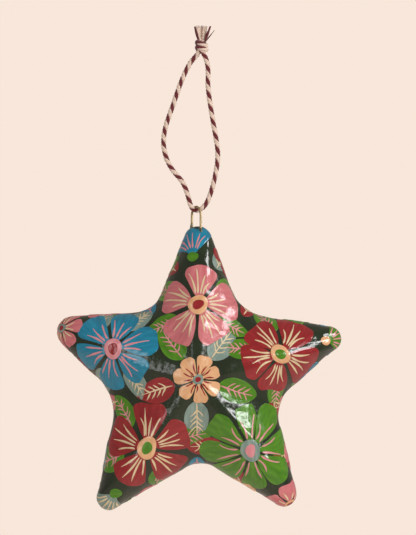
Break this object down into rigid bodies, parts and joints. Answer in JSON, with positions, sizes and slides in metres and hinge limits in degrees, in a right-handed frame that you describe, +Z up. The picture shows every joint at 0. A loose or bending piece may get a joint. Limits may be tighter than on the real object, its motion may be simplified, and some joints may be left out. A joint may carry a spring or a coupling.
{
  "type": "hanging star ornament",
  "caption": "Softly rounded hollow star, painted with flowers on dark green, hung by a brass wire eye from a tied loop of two-colour twine.",
  "frame": {"origin": "point inside the twine loop, just under the knot, where a hook carries the ornament", "axes": "+X to the right as seen from the front, the front faces -Y, +Z up along the hanging line"},
  "size_m": [0.1022, 0.0366, 0.1745],
  "materials": {
    "moulded_paper": "dark green paint under gloss lacquer",
    "joint_paper": "dark green paint under gloss lacquer",
    "wire": "dull drawn wire",
    "filler": "glue and paper dust under lacquer",
    "twine_two_colour": "burgundy and cream cotton plies",
    "twine_cream": "frayed cotton",
    "twine_burgundy": "frayed cotton"
  },
  "bodies": {
    "twine_loop": {"twine_left_run": "twine_two_colour", "twine_right_run": "twine_two_colour", "twine_knot": "twine_two_colour", "tail_cream": "twine_cream", "tail_burgundy_left": "twine_burgundy", "tail_burgundy_right": "twine_burgundy", "tail_thread": "twine_burgundy"},
    "twine_bight": {"twine_bight": "twine_two_colour"},
    "star": {"front_shell": "moulded_paper", "back_shell": "moulded_paper", "seam_strip": "joint_paper", "hanger_wire": "wire", "filler_bead_front": "filler", "filler_bead_back": "filler"}
  },
  "joints": [
    {"name": "rock_on_twine", "type": "hinge", "parent": "twine_loop", "child": "twine_bight", "pos_m": [-0.0017, 0, -0.0566], "axis": [1, 0, 0], "range_deg": [-35, 35]},
    {"name": "swing_on_wire", "type": "hinge", "parent": "twine_bight", "child": "star", "pos_m": [-0.0017, 0, -0.055], "axis": [0.4848, -0.8746, 0], "range_deg": [-25, 25]}
  ]
}
